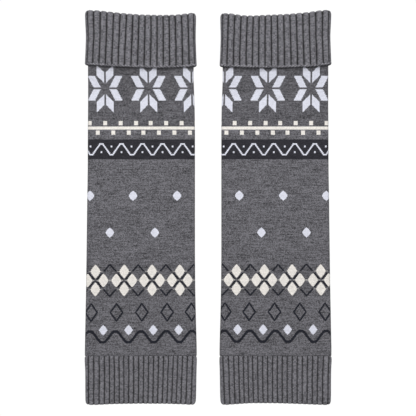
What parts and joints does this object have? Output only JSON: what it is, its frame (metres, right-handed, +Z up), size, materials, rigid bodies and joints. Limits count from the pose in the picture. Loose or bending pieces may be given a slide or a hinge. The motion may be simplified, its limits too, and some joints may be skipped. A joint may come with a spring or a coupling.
{
  "type": "pair of leg warmers",
  "caption": "Knitted tube leg warmers laid flat side by side, with a snow-pattern body, a turned-down rib cuff at the top and a rib cuff at the foot; they cover and warm the lower legs",
  "frame": {"origin": "on the surface that the pair lies on, at the middle of the pair's outline", "axes": "+X runs across the pair, towards the right leg warmer; +Y runs along the legs, from the foot cuffs to the turned-down top cuffs; +Z points up from the surface"},
  "size_m": [0.251, 0.4, 0.0096],
  "materials": {
    "patterned_knit": "fine jersey knit in heather grey with white, cream and black pattern bands",
    "rib_knit": "thick rib knit in heather grey, matt and slightly fuzzy"
  },
  "bodies": {
    "root": {"body_left": "patterned_knit", "top_cuff_left": "rib_knit", "foot_cuff_left": "rib_knit", "body_right": "patterned_knit", "top_cuff_right": "rib_knit", "foot_cuff_right": "rib_knit"}
  },
  "joints": []
}
